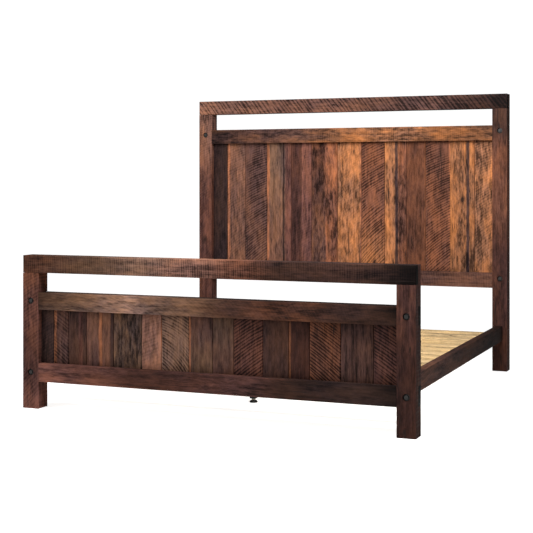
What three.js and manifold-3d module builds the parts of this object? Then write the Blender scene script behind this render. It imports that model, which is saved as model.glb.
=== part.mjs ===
// A king-size bed frame in thick, rough-sawn, mixed-colour timber.
// Two framed and boarded ends stand on square posts. Side rails hook between them and carry a
// roll of slats, and a steel support with two levelling feet stands under the middle.
//
// Millimetres. X runs across the bed, Y from the footboard to the headboard, Z up. The origin is
// on the floor under the centre of the whole frame. Left and right are as seen from the foot.

import * as THREE from 'three';
import { mergeVertices } from 'three/addons/utils/BufferGeometryUtils.js';
import Module from 'manifold-3d';

const wasm = await Module();
wasm.setup();

// ---------------------------------------------------------------- driving dimensions

// Whole frame
const OVERALL_WIDTH = 2090;     // across the posts' outer faces
const CLEAR_LENGTH = 2050;      // between the footboard and the headboard
const FIT = 0.3;                // gap left wherever two pieces meet

// Posts and cross members of both ends
const POST_WIDTH = 92;
const MEMBER_DEPTH = 89;        // front to back, for the posts and every cross member
const CAP_HEIGHT = 90;

// Boards held in grooves between the cross members
const BOARD_THICKNESS = 18;
const GROOVE_DEPTH = 10;
const BOARD_SEAM = 2;           // open seam between two boards' faces
const BOARD_OVERLAP = 7;        // how far one board's back edge reaches behind the next

// Lap bolts
const BOLT_SHANK_RADIUS = 5;
const BOLT_INTO_MEMBER = 32;    // how far the shank passes the lap into the cross member
const BOLT_END_SPACE = 1;       // between the shank's end and the bottom of its hole
const WASHER_RADIUS = 15.5;
const WASHER_THICKNESS = 2.5;
const BOLT_HEAD_ACROSS_FLATS = 19;
const BOLT_HEAD_HEIGHT = 6.5;
const RECESS_RADIUS = 16.5;
const RECESS_DEPTH = 10;

// Side rails, and the ledgers that carry the slats
const SIDE_RAIL_INSET = 28;     // from the posts' outer faces
const SIDE_RAIL_THICKNESS = 44;
const SIDE_RAIL_HEIGHT = 92;
const SIDE_RAIL_UNDERSIDE = 188;
const LEDGER_WIDTH = 32;
const LEDGER_HEIGHT = 34;
const LEDGER_END_SPACE = 30;

// Hook plates let into the side rails' ends
const PLATE_WIDTH = 26;
const PLATE_MARGIN = 8;         // wood left above and below a plate
const PLATE_THICKNESS = 3;
const HOOK_SPACING = 40;
const HOOK_THICKNESS = 5;
const HOOK_REACH = 13;
const HOOK_LIP = 6;             // thickness of the lip, and how far it drops
const HOOK_NECK = 12;           // height of the neck
const SLOT_CLEARANCE = 1;       // round a hook in its slot

// Slat roll
const SLAT_COUNT = 13;
const SLAT_WIDTH = 70;
const SLAT_THICKNESS = 19;
const SLAT_SIDE_SPACE = 4;      // between a slat's end and the side rail
const SLAT_END_SPACE = 24;      // between the outermost slats and the two ends of the bed
const STRAP_WIDTH = 40;
const STRAP_THICKNESS = 1.2;
const STRAP_OFFSET = 520;       // from the centre line

// Centre support and its levelling feet
const BEAM_SIZE = 40;
const BEAM_END_SPACE = 35;
const LEG_SIZE = 32;
const LEG_SPACING = 1040;
const TUBE_WALL = 2;
const END_BLOCK = 14;           // tapped block that closes a leg's lower end
const STUD_RADIUS = 5;
const STUD_LENGTH = 52;
const STUD_HEX_ACROSS_FLATS = 17;
const STUD_HEX_HEIGHT = 7;
const STUD_FOOT_RADIUS = 8;
const STUD_FOOT_HEIGHT = 5;
const PAD_RADIUS = 22;
const PAD_HEIGHT = 12;
const PAD_SOCKET_DEPTH = 6;

const ROUND_SIDES = 32;

// The two ends. Heights are listed upwards from the floor: under the lower rail, the lower rail,
// the boards, the upper rail and the open slot under the cap. Board widths are in proportion to
// each other, and share the opening between the posts.
const FOOTBOARD = {
  name: 'footboard',
  clearBelow: 140,
  lowerRail: 95,
  boards: 276,
  upperRail: 88,
  slot: 101,
  boltRise: 0,
  boardWidths: [72, 86, 107, 156, 161, 110, 149, 129, 112, 152, 132, 107, 154, 161, 119],
  boardColors: [
    0x33241f, 0x6b4733, 0x3e2c26, 0x5f402c, 0x43322b, 0x7d4f3a, 0x5d4029, 0x64442e,
    0x45362a, 0x6a3f2e, 0x3c2b27, 0x76472f, 0x6d4b31, 0x4a352a, 0x59402c,
  ],
  postColors: [0x5c4034, 0x4b2f2a],
  railColors: { lower: 0x623f30, upper: 0x54392a, cap: 0x5a4030 },
};
const HEADBOARD = {
  name: 'headboard',
  clearBelow: 512,
  lowerRail: 93,
  boards: 821,
  upperRail: 93,
  slot: 104,
  boltRise: 12,
  boardWidths: [102, 131, 157, 173, 143, 180, 162, 157, 146, 123, 159, 156, 118],
  boardColors: [
    0x3b2a26, 0x6d4a33, 0x4c382e, 0x846546, 0x6b4436, 0x744a38, 0xb5773f,
    0x8a6038, 0x94653b, 0xa0663c, 0x553a2b, 0x9c6d3f, 0x8f6440,
  ],
  postColors: [0x70493b, 0x5b3d30],
  railColors: { lower: 0x5e4030, upper: 0x6b4a33, cap: 0x5c4532 },
};
const SIDE_RAIL_COLOR = 0x4c352a;
const LEDGER_COLOR = 0xa88a63;
const SLAT_COLOR = 0xc7a97c;
const BLACK_METAL = 0x1c1a19;
const ZINC = 0x9a9a97;
const PAD_COLOR = 0x26262a;

// ---------------------------------------------------------------- sizes worked out from them

const HALF_WIDTH = OVERALL_WIDTH / 2;
const INNER_HALF = HALF_WIDTH - POST_WIDTH;
const HALF_CLEAR = CLEAR_LENGTH / 2;
const LAP_PLANE = MEMBER_DEPTH / 2;
const BOARD_FRONT = (MEMBER_DEPTH - BOARD_THICKNESS) / 2;
const RAIL_OUTER = HALF_WIDTH - SIDE_RAIL_INSET;
const RAIL_INNER = RAIL_OUTER - SIDE_RAIL_THICKNESS;
const RAIL_MIDDLE = (RAIL_OUTER + RAIL_INNER) / 2;
const RAIL_MIDHEIGHT = SIDE_RAIL_UNDERSIDE + SIDE_RAIL_HEIGHT / 2;
const PLATE_HEIGHT = SIDE_RAIL_HEIGHT - 2 * PLATE_MARGIN;
const LEDGER_TOP = SIDE_RAIL_UNDERSIDE + LEDGER_HEIGHT;
const SLAT_UNDERSIDE = LEDGER_TOP + FIT;
const BEAM_TOP = SLAT_UNDERSIDE - FIT;
const BEAM_UNDERSIDE = BEAM_TOP - BEAM_SIZE;
const STUD_BASE = PAD_HEIGHT - PAD_SOCKET_DEPTH + FIT;
const HEX_BASE = STUD_BASE + STUD_FOOT_HEIGHT + 3;
const LEG_UNDERSIDE = HEX_BASE + STUD_HEX_HEIGHT + FIT;

// ---------------------------------------------------------------- solids

/** Turns a closed three.js geometry into a manifold solid. */
function toSolid(geometry) {
  const bare = geometry.clone();
  bare.deleteAttribute('normal');
  bare.deleteAttribute('uv');
  const merged = mergeVertices(bare, 1e-4);
  return new wasm.Manifold(new wasm.Mesh({
    numProp: 3,
    vertProperties: new Float32Array(merged.attributes.position.array),
    triVerts: new Uint32Array(merged.index.array),
  }));
}

/** Turns a manifold solid back into a three.js geometry. */
function toGeometry(solid) {
  const mesh = solid.getMesh();
  const geometry = new THREE.BufferGeometry();
  geometry.setAttribute('position', new THREE.BufferAttribute(mesh.vertProperties, 3));
  geometry.setIndex(new THREE.BufferAttribute(mesh.triVerts, 1));
  geometry.computeVertexNormals();
  return geometry;
}

/** A block between two values on each axis, in either order. */
function block([x0, x1], [y0, y1], [z0, z1]) {
  const geometry = new THREE.BoxGeometry(Math.abs(x1 - x0), Math.abs(y1 - y0), Math.abs(z1 - z0));
  geometry.translate((x0 + x1) / 2, (y0 + y1) / 2, (z0 + z1) / 2);
  return toSolid(geometry);
}

/** A prism along Y, between y0 and y1, centred on (x, z). */
function prismAlongY(radius, sides, [y0, y1], x = 0, z = 0) {
  const geometry = new THREE.CylinderGeometry(radius, radius, y1 - y0, sides);
  geometry.translate(x, (y0 + y1) / 2, z);
  return toSolid(geometry);
}

/** A prism along Z, between z0 and z1, centred on the Z axis through (x, y). */
function prismAlongZ(radius, sides, [z0, z1], x = 0, y = 0) {
  const geometry = new THREE.CylinderGeometry(radius, radius, z1 - z0, sides);
  geometry.rotateX(Math.PI / 2);
  geometry.translate(x, y, (z0 + z1) / 2);
  return toSolid(geometry);
}

/** The corner radius of a hexagon from its width across the flats. */
function hexRadius(acrossFlats) {
  return acrossFlats / Math.sqrt(3);
}

function woodMaterial(color) {
  return new THREE.MeshStandardMaterial({ color, roughness: 0.78, metalness: 0 });
}

function metalMaterial(color, roughness) {
  return new THREE.MeshStandardMaterial({ color, roughness, metalness: 0.9 });
}

function addPart(group, name, solid, material) {
  const mesh = new THREE.Mesh(toGeometry(solid), material);
  mesh.name = name;
  group.add(mesh);
  return mesh;
}

// ---------------------------------------------------------------- the two ends
// Each end is built with its front face at Y = 0 and moved into place as a group.

/** Works out the heights of an end's members from its list of heights. */
function levelsOf(end) {
  const lower = end.clearBelow;
  const boards = lower + end.lowerRail;
  const upper = boards + end.boards;
  const slot = upper + end.upperRail;
  const cap = slot + end.slot;
  return { lower, boards, upper, slot, cap, top: cap + CAP_HEIGHT };
}

/** The room that an end's boards fill, with their edges in the grooves. */
function boardPocket(levels) {
  const reach = GROOVE_DEPTH + FIT;
  return block(
    [-INNER_HALF - reach, INNER_HALF + reach],
    [BOARD_FRONT - FIT, BOARD_FRONT + BOARD_THICKNESS + FIT],
    [levels.boards - reach, levels.upper + reach],
  );
}

/** Heights of an end's bolts: one through each rail's lap. */
function boltHeights(end, levels) {
  return {
    lower: levels.lower + end.lowerRail / 2 + end.boltRise,
    upper: levels.upper + end.upperRail / 2 + end.boltRise,
  };
}

/** The recess and hole for one bolt, through the post and into the rail's lap. */
function boltHole(x, z) {
  const recess = prismAlongY(RECESS_RADIUS, ROUND_SIDES, [-1, RECESS_DEPTH], x, z);
  const reach = LAP_PLANE + BOLT_INTO_MEMBER + BOLT_END_SPACE;
  const hole = prismAlongY(BOLT_SHANK_RADIUS + FIT, ROUND_SIDES, [0, reach], x, z);
  return recess.add(hole);
}

/** All the cuts that an end's posts and rails share. */
function sharedCuts(end, levels) {
  let cuts = boardPocket(levels);
  const heights = boltHeights(end, levels);
  for (const side of [-1, 1]) {
    const x = side * (HALF_WIDTH - POST_WIDTH / 2);
    cuts = cuts.add(boltHole(x, heights.lower)).add(boltHole(x, heights.upper));
  }
  return cuts.add(hookSlots(end));
}

/** The slots that take the side rails' hooks, in the face that looks along the bed. */
function hookSlots(end) {
  const inward = end === FOOTBOARD ? -1 : 1;
  const face = end === FOOTBOARD ? MEMBER_DEPTH : 0;
  const halfWidth = HOOK_THICKNESS / 2 + SLOT_CLEARANCE;
  const low = -HOOK_NECK / 2 - HOOK_LIP - SLOT_CLEARANCE;
  const high = HOOK_NECK / 2 + HOOK_LIP + SLOT_CLEARANCE;
  const slots = [];
  for (const side of [-1, 1]) {
    for (const step of [-0.5, 0.5]) {
      const x = side * RAIL_MIDDLE;
      const z = RAIL_MIDHEIGHT + step * HOOK_SPACING;
      slots.push(block(
        [x - halfWidth, x + halfWidth],
        [face - inward, face + inward * (HOOK_REACH + SLOT_CLEARANCE)],
        [z + low, z + high],
      ));
    }
  }
  return slots.reduce((all, slot) => all.add(slot));
}

/** A post: halved at the front for the cap, and at the back for each rail. */
function postSolid(end, levels, side, cuts) {
  const across = [side * INNER_HALF, side * HALF_WIDTH];
  const wide = [side * (INNER_HALF - 1), side * (HALF_WIDTH + 1)];
  let post = block(across, [0, MEMBER_DEPTH], [0, levels.top]);
  post = post.subtract(block(wide, [-1, LAP_PLANE + FIT / 2], [levels.cap - FIT, levels.top + 1]));
  for (const [low, height] of [[levels.lower, end.lowerRail], [levels.upper, end.upperRail]]) {
    const back = [LAP_PLANE - FIT / 2, MEMBER_DEPTH + 1];
    post = post.subtract(block(wide, back, [low - FIT, low + height + FIT]));
  }
  return post.subtract(cuts);
}

/** A cross member, full depth between the posts and halved where it laps them. */
function crossMember(low, height, lapDepth, cuts) {
  const levels = [low, low + height];
  const middle = block([-INNER_HALF + FIT, INNER_HALF - FIT], [0, MEMBER_DEPTH], levels);
  const lap = block([-HALF_WIDTH, HALF_WIDTH], lapDepth, levels);
  return middle.add(lap).subtract(cuts);
}

/** A board's section: its front layer, and a back layer that reaches behind the next board. */
function boardSection(left, right, isFirst, isLast) {
  const half = BOARD_THICKNESS / 2;
  const front = [isFirst ? left : left + BOARD_SEAM / 2, isLast ? right : right - BOARD_SEAM / 2];
  const back = [isFirst ? left : front[0] + BOARD_OVERLAP, isLast ? right : front[1] + BOARD_OVERLAP];
  const seamY = BOARD_FRONT + half;
  const outline = new THREE.Shape();
  outline.moveTo(front[0], BOARD_FRONT);
  outline.lineTo(front[1], BOARD_FRONT);
  if (isLast) {
    outline.lineTo(back[1], BOARD_FRONT + BOARD_THICKNESS);
  } else {
    outline.lineTo(front[1], seamY + FIT / 2);
    outline.lineTo(back[1], seamY + FIT / 2);
    outline.lineTo(back[1], BOARD_FRONT + BOARD_THICKNESS);
  }
  outline.lineTo(back[0], BOARD_FRONT + BOARD_THICKNESS);
  if (!isFirst) {
    outline.lineTo(back[0], seamY - FIT / 2);
    outline.lineTo(front[0], seamY - FIT / 2);
  }
  outline.closePath();
  return outline;
}

/** The row of boards, each with its top and bottom edges in the rails' grooves. */
function addBoards(group, end, levels) {
  const total = end.boardWidths.reduce((sum, width) => sum + width, 0);
  const scale = (2 * INNER_HALF) / total;
  const length = end.boards + 2 * GROOVE_DEPTH;
  let left = -INNER_HALF;
  end.boardWidths.forEach((width, index) => {
    const isFirst = index === 0;
    const isLast = index === end.boardWidths.length - 1;
    const right = left + width * scale;
    const section = boardSection(
      isFirst ? left - GROOVE_DEPTH : left,
      isLast ? right + GROOVE_DEPTH : right,
      isFirst,
      isLast,
    );
    const geometry = new THREE.ExtrudeGeometry(section, { depth: length, bevelEnabled: false });
    geometry.translate(0, 0, levels.boards - GROOVE_DEPTH);
    const name = `${end.name}_board_${String(index + 1).padStart(2, '0')}`;
    addPart(group, name, toSolid(geometry), woodMaterial(end.boardColors[index]));
    left = right;
  });
}

/** A bolt along Y with its washer, with the washer's seat at Y = 0 and the shank behind it. */
function boltSolid() {
  const shankEnd = LAP_PLANE + BOLT_INTO_MEMBER - RECESS_DEPTH;
  const washer = prismAlongY(WASHER_RADIUS, ROUND_SIDES, [-WASHER_THICKNESS, 0]);
  const headEnds = [-WASHER_THICKNESS - BOLT_HEAD_HEIGHT, -WASHER_THICKNESS / 2];
  const head = prismAlongY(hexRadius(BOLT_HEAD_ACROSS_FLATS), 6, headEnds);
  const shank = prismAlongY(BOLT_SHANK_RADIUS, ROUND_SIDES, [-WASHER_THICKNESS / 2, shankEnd]);
  return washer.add(head).add(shank);
}

function addBolts(group, end, levels) {
  const bolt = boltSolid();
  for (const [row, z] of Object.entries(boltHeights(end, levels))) {
    for (const side of [-1, 1]) {
      const name = `${end.name}_bolt_${row}_${sideName(side)}`;
      const mesh = addPart(group, name, bolt, metalMaterial(BLACK_METAL, 0.5));
      mesh.position.set(side * (HALF_WIDTH - POST_WIDTH / 2), RECESS_DEPTH - FIT, z);
    }
  }
}

function sideName(side) {
  return side < 0 ? 'left' : 'right';
}

/** One complete end of the bed. */
function makeEnd(end) {
  const group = new THREE.Group();
  const levels = levelsOf(end);
  const cuts = sharedCuts(end, levels);
  const frontLap = [0, LAP_PLANE - FIT / 2];
  const backLap = [LAP_PLANE + FIT / 2, MEMBER_DEPTH];
  for (const side of [-1, 1]) {
    const color = end.postColors[side < 0 ? 0 : 1];
    const post = postSolid(end, levels, side, cuts);
    addPart(group, `${end.name}_post_${sideName(side)}`, post, woodMaterial(color));
  }
  const lower = crossMember(levels.lower, end.lowerRail, backLap, cuts);
  const upper = crossMember(levels.upper, end.upperRail, backLap, cuts);
  const cap = crossMember(levels.cap, CAP_HEIGHT, frontLap, cuts);
  addPart(group, `${end.name}_lower_rail`, lower, woodMaterial(end.railColors.lower));
  addPart(group, `${end.name}_upper_rail`, upper, woodMaterial(end.railColors.upper));
  addPart(group, `${end.name}_cap_rail`, cap, woodMaterial(end.railColors.cap));
  addBoards(group, end, levels);
  addBolts(group, end, levels);
  return group;
}

// ---------------------------------------------------------------- side rails

/** A side rail with a mortise in each end for its hook plate. */
function sideRailSolid(side) {
  const halfLength = HALF_CLEAR - FIT;
  let rail = block(
    [side * RAIL_INNER, side * RAIL_OUTER],
    [-halfLength, halfLength],
    [SIDE_RAIL_UNDERSIDE, SIDE_RAIL_UNDERSIDE + SIDE_RAIL_HEIGHT],
  );
  const middle = side * RAIL_MIDDLE;
  const halfWidth = PLATE_WIDTH / 2 + FIT;
  const halfHeight = PLATE_HEIGHT / 2 + FIT;
  for (const end of [-1, 1]) {
    rail = rail.subtract(block(
      [middle - halfWidth, middle + halfWidth],
      [end * (halfLength - PLATE_THICKNESS - FIT), end * (halfLength + 1)],
      [RAIL_MIDHEIGHT - halfHeight, RAIL_MIDHEIGHT + halfHeight],
    ));
  }
  return rail;
}

/** A hook plate, seen as it sits at the headboard end: its face at Y = 0, its hooks along +Y. */
function hookPlateSolid() {
  let plate = block(
    [-PLATE_WIDTH / 2, PLATE_WIDTH / 2],
    [-PLATE_THICKNESS, 0],
    [-PLATE_HEIGHT / 2, PLATE_HEIGHT / 2],
  );
  const halfThickness = HOOK_THICKNESS / 2;
  for (const step of [-0.5, 0.5]) {
    const z = step * HOOK_SPACING;
    const top = z + HOOK_NECK / 2;
    const across = [-halfThickness, halfThickness];
    const neck = block(across, [-PLATE_THICKNESS / 2, HOOK_REACH], [z - HOOK_NECK / 2, top]);
    const lipBottom = z - HOOK_NECK / 2 - HOOK_LIP;
    const lip = block(across, [HOOK_REACH - HOOK_LIP, HOOK_REACH], [lipBottom, top]);
    plate = plate.add(neck).add(lip);
  }
  return plate;
}

function addSideRails(root) {
  const plate = hookPlateSolid();
  for (const side of [-1, 1]) {
    const label = sideName(side);
    addPart(root, `side_rail_${label}`, sideRailSolid(side), woodMaterial(SIDE_RAIL_COLOR));

    const ledgerOuter = RAIL_INNER - FIT;
    const ledgerHalf = HALF_CLEAR - LEDGER_END_SPACE;
    const ledger = block(
      [side * (ledgerOuter - LEDGER_WIDTH), side * ledgerOuter],
      [-ledgerHalf, ledgerHalf],
      [SIDE_RAIL_UNDERSIDE, LEDGER_TOP],
    );
    addPart(root, `slat_ledger_${label}`, ledger, woodMaterial(LEDGER_COLOR));

    for (const [end, direction] of [['foot', -1], ['head', 1]]) {
      const name = `rail_hook_plate_${end}_${label}`;
      const mesh = addPart(root, name, plate, metalMaterial(ZINC, 0.45));
      mesh.position.set(side * RAIL_MIDDLE, direction * (HALF_CLEAR - FIT), RAIL_MIDHEIGHT);
      mesh.rotation.z = direction > 0 ? 0 : Math.PI;
    }
  }
}

// ---------------------------------------------------------------- slats

/** Slats joined by two webbing straps stapled under them, so that they roll up as one piece. */
function slatRollSolid() {
  const halfWidth = RAIL_INNER - SLAT_SIDE_SPACE;
  const halfLength = HALF_CLEAR - SLAT_END_SPACE;
  const pitch = (2 * halfLength - SLAT_WIDTH) / (SLAT_COUNT - 1);
  const levels = [SLAT_UNDERSIDE, SLAT_UNDERSIDE + SLAT_THICKNESS];
  const pieces = [];
  for (let index = 0; index < SLAT_COUNT; index += 1) {
    const start = -halfLength + index * pitch;
    pieces.push(block([-halfWidth, halfWidth], [start, start + SLAT_WIDTH], levels));
  }
  for (const side of [-1, 1]) {
    const x = side * STRAP_OFFSET;
    pieces.push(block(
      [x - STRAP_WIDTH / 2, x + STRAP_WIDTH / 2],
      [-halfLength + SLAT_WIDTH / 4, halfLength - SLAT_WIDTH / 4],
      [SLAT_UNDERSIDE - STRAP_THICKNESS, SLAT_UNDERSIDE + STRAP_THICKNESS],
    ));
  }
  return pieces.reduce((all, piece) => all.add(piece));
}

// ---------------------------------------------------------------- centre support

/** A square tube beam with two tube legs welded under it, each closed by a tapped block. */
function centreSupportSolid() {
  const halfLength = HALF_CLEAR - BEAM_END_SPACE;
  const half = BEAM_SIZE / 2;
  const bore = half - TUBE_WALL;
  let support = block([-half, half], [-halfLength, halfLength], [BEAM_UNDERSIDE, BEAM_TOP]);
  support = support.subtract(block(
    [-bore, bore],
    [-halfLength - 1, halfLength + 1],
    [BEAM_UNDERSIDE + TUBE_WALL, BEAM_TOP - TUBE_WALL],
  ));
  const legHalf = LEG_SIZE / 2;
  const legBore = legHalf - TUBE_WALL;
  for (const end of [-1, 1]) {
    const y = end * LEG_SPACING / 2;
    const shell = block(
      [-legHalf, legHalf],
      [y - legHalf, y + legHalf],
      [LEG_UNDERSIDE, BEAM_UNDERSIDE + TUBE_WALL / 2],
    );
    const inside = block(
      [-legBore, legBore],
      [y - legBore, y + legBore],
      [LEG_UNDERSIDE + END_BLOCK, BEAM_UNDERSIDE],
    );
    const tapping = [LEG_UNDERSIDE - 1, LEG_UNDERSIDE + END_BLOCK + 1];
    const thread = prismAlongZ(STUD_RADIUS + FIT, ROUND_SIDES, tapping, 0, y);
    support = support.add(shell.subtract(inside).subtract(thread));
  }
  return support;
}

/** A levelling foot's pad: a disc with a bevelled rim and a socket for the stud's foot. */
function padSolid() {
  const bevel = PAD_HEIGHT / 4;
  const socket = STUD_FOOT_RADIUS + 2 * FIT;
  const outline = [
    [0, 0],
    [PAD_RADIUS - bevel / 2, 0],
    [PAD_RADIUS, bevel / 2],
    [PAD_RADIUS, PAD_HEIGHT / 2],
    [PAD_RADIUS - 2 * bevel, PAD_HEIGHT],
    [socket, PAD_HEIGHT],
    [socket, PAD_HEIGHT - PAD_SOCKET_DEPTH],
    [0, PAD_HEIGHT - PAD_SOCKET_DEPTH],
  ].map(([radius, height]) => new THREE.Vector2(radius, height));
  const geometry = new THREE.LatheGeometry(outline, ROUND_SIDES);
  geometry.rotateX(Math.PI / 2);
  return toSolid(geometry);
}

/** A levelling foot's threaded stud: a round foot, a neck, a hexagon and the shank. */
function studSolid() {
  const foot = prismAlongZ(STUD_FOOT_RADIUS, ROUND_SIDES, [STUD_BASE, STUD_BASE + STUD_FOOT_HEIGHT]);
  const shank = prismAlongZ(STUD_RADIUS, ROUND_SIDES, [STUD_BASE + 1, STUD_BASE + STUD_LENGTH]);
  const hexEnds = [HEX_BASE, HEX_BASE + STUD_HEX_HEIGHT];
  return foot.add(shank).add(prismAlongZ(hexRadius(STUD_HEX_ACROSS_FLATS), 6, hexEnds));
}

function addCentreSupport(root) {
  addPart(root, 'centre_support', centreSupportSolid(), metalMaterial(BLACK_METAL, 0.55));
  const pad = padSolid();
  const stud = studSolid();
  for (const [end, direction] of [['foot', -1], ['head', 1]]) {
    const y = direction * LEG_SPACING / 2;
    const padMaterial = new THREE.MeshStandardMaterial({ color: PAD_COLOR, roughness: 0.7 });
    addPart(root, `leveller_pad_${end}`, pad, padMaterial).position.y = y;
    addPart(root, `leveller_stud_${end}`, stud, metalMaterial(ZINC, 0.4)).position.y = y;
  }
}

// ---------------------------------------------------------------- the whole frame

const bedFrame = new THREE.Group();
const footboard = makeEnd(FOOTBOARD);
footboard.position.y = -HALF_CLEAR - MEMBER_DEPTH;
const headboard = makeEnd(HEADBOARD);
headboard.position.y = HALF_CLEAR;
bedFrame.add(footboard, headboard);
addSideRails(bedFrame);
addPart(bedFrame, 'slat_roll', slatRollSolid(), woodMaterial(SLAT_COLOR));
addCentreSupport(bedFrame);

export default bedFrame;
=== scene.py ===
"""A king-size bed frame in thick, rough-sawn, mixed-colour timber.

Every piece is a copy or a finer version of a node of the frame, in metres, in the frame's own
place. X runs across the bed, Y from the footboard to the headboard, Z up. Left and right are as
seen from the foot.
"""

import math
from functools import partialmethod

import bpy
from mathutils import Euler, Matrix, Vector


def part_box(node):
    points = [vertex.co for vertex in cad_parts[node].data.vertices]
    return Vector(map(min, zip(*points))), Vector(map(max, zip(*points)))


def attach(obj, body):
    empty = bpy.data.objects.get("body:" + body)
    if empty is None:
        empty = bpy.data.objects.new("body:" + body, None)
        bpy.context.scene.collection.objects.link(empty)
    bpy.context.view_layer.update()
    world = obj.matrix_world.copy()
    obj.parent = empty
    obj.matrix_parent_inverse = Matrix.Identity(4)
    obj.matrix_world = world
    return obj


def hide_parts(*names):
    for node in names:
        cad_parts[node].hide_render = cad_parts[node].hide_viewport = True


bl_info = {
    "name": "Rough-sawn timber bed frame",
    "version": (1, 0, 0),
    "blender": (4, 5, 0),
    "location": "View3D > Sidebar > Bed frame",
    "description": "Builds the timber, the hardware and the studio of a boarded bed frame",
    "category": "Object",
}

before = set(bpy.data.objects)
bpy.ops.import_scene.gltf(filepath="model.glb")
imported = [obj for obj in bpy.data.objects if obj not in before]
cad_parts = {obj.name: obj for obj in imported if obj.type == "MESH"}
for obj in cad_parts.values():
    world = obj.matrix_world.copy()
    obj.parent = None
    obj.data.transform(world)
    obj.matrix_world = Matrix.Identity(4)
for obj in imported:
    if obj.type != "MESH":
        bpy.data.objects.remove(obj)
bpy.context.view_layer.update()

FRAME_BODY = "frame"
SIDES = ("left", "right")
ENDS = ("footboard", "headboard")

# Ways that the grain can lie: the turn that brings it onto Z, with the wide face's width on X
GRAIN_UP = (0.0, 0.0, 0.0)
GRAIN_ACROSS = (0.0, -math.pi / 2, 0.0)
GRAIN_ALONG = (math.pi / 2, 0.0, math.pi / 2)
LENGTH_AXIS = {GRAIN_UP: 2, GRAIN_ACROSS: 0, GRAIN_ALONG: 1}

# The seed that each kind of piece counts up from, so that no two pieces share their grain
MEMBER_SEED = 1.0
BOARD_SEED = 21.0
SIDE_RAIL_SEED = 61.0
LEDGER_SEED = 65.0
SLAT_SEED = 71.0

CROSS_STEP = 0.03   # spacing of the cuts over the width of the thick members
TOUCHING = 0.00001  # closer than this, two points are one


# ---- what a user can change


def colour(name, description, value):
    """A colour setting, chosen as it looks on a screen."""
    return bpy.props.FloatVectorProperty(
        name=name, description=description, default=value,
        subtype="COLOR_GAMMA", size=3, min=0.0, max=1.0,
    )


def number(name, description, value, low=0.0, **kind):
    """A number setting."""
    return bpy.props.FloatProperty(
        name=name, description=description, default=value, min=low, **kind,
    )


def length(name, description, value):
    """A length setting, in metres."""
    return number(name, description, value, unit="LENGTH", precision=4)


class BedTimberSettings(bpy.types.PropertyGroup):
    """The timber's tones and its worked surface."""

    umber: colour("Umber", "Darkest boards", (0.27, 0.195, 0.182))
    brown: colour("Brown", "Plain mid brown", (0.41, 0.285, 0.248))
    olive: colour("Olive", "Greyed brown of the older boards", (0.40, 0.30, 0.25))
    chestnut: colour("Chestnut", "Warm brown of the middle boards", (0.46, 0.29, 0.22))
    russet: colour("Russet", "Reddish boards", (0.46, 0.30, 0.262))
    tan: colour("Tan", "Lighter, freshly sawn faces", (0.53, 0.37, 0.305))
    honey: colour("Honey", "Golden boards", (0.60, 0.395, 0.27))
    orange: colour("Orange", "Sanded strips along some boards' edges", (0.70, 0.45, 0.33))
    pine: colour("Pine", "Slats and ledgers", (0.80, 0.68, 0.50))
    eased_edge: length("Eased edge", "Width of the rounding along every timber edge", 0.0022)
    unevenness: length("Unevenness", "How deep the hollows in a sawn face are", 0.0009)
    slice_step: length("Slice step", "Spacing of the edges that carry the unevenness", 0.06)


class BedHardwareSettings(bpy.types.PropertyGroup):
    """The metal, the webbing and the feet."""

    black: colour("Black", "Blackened bolts and hook plates", (0.2, 0.195, 0.19))
    powder: colour("Powder coat", "Coated steel of the centre support", (0.12, 0.12, 0.125))
    zinc: colour("Zinc", "Plated studs, screws and staples", (0.72, 0.72, 0.70))
    webbing: colour("Webbing", "Straps under the slats", (0.82, 0.80, 0.74))
    pad: colour("Pad", "Moulded plastic of the feet", (0.14, 0.14, 0.15))
    metal_edge: length("Metal edge", "Width of the rounding on steel edges", 0.0008)
    thread_pitch: length("Thread pitch", "Spacing of the rings on the studs", 0.0015)


class BedStageSettings(bpy.types.PropertyGroup):
    """The floor, the light and the camera."""

    floor: colour("Floor", "Plain studio floor", (0.97, 0.97, 0.97))
    floor_glow: number("Floor glow", "How far the floor is lifted to white for the camera", 0.78)
    surround: number("Surround", "Strength of the even light from all round", 0.4)
    head_light: number("Head light", "Power of the headboard's soft light", 112.0, unit="POWER")
    foot_light: number("Foot light", "Power of the footboard's soft light", 75.0, unit="POWER")
    lens: number("Lens", "Focal length in millimetres", 82.6, low=10.0)


# ---- how the timber looks
# Each look gives tones from the bottom up or from left to right, as (place, tone, gain) where the
# place runs from 0 to 1, and how strongly each effect shows. "saw" is (degrees, strength), "left"
# and "right" are (tone, gain, edge) and "band" is (tone, gain, middle, half width), where the
# edges and the middle run from -1 to 1 over the width.


def fading(tone_name, first, last, **effects):
    """A look in one tone, which fades or brightens from one end to the other."""
    return dict(tones=[(0, tone_name, first), (1, tone_name, last)], **effects)


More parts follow.
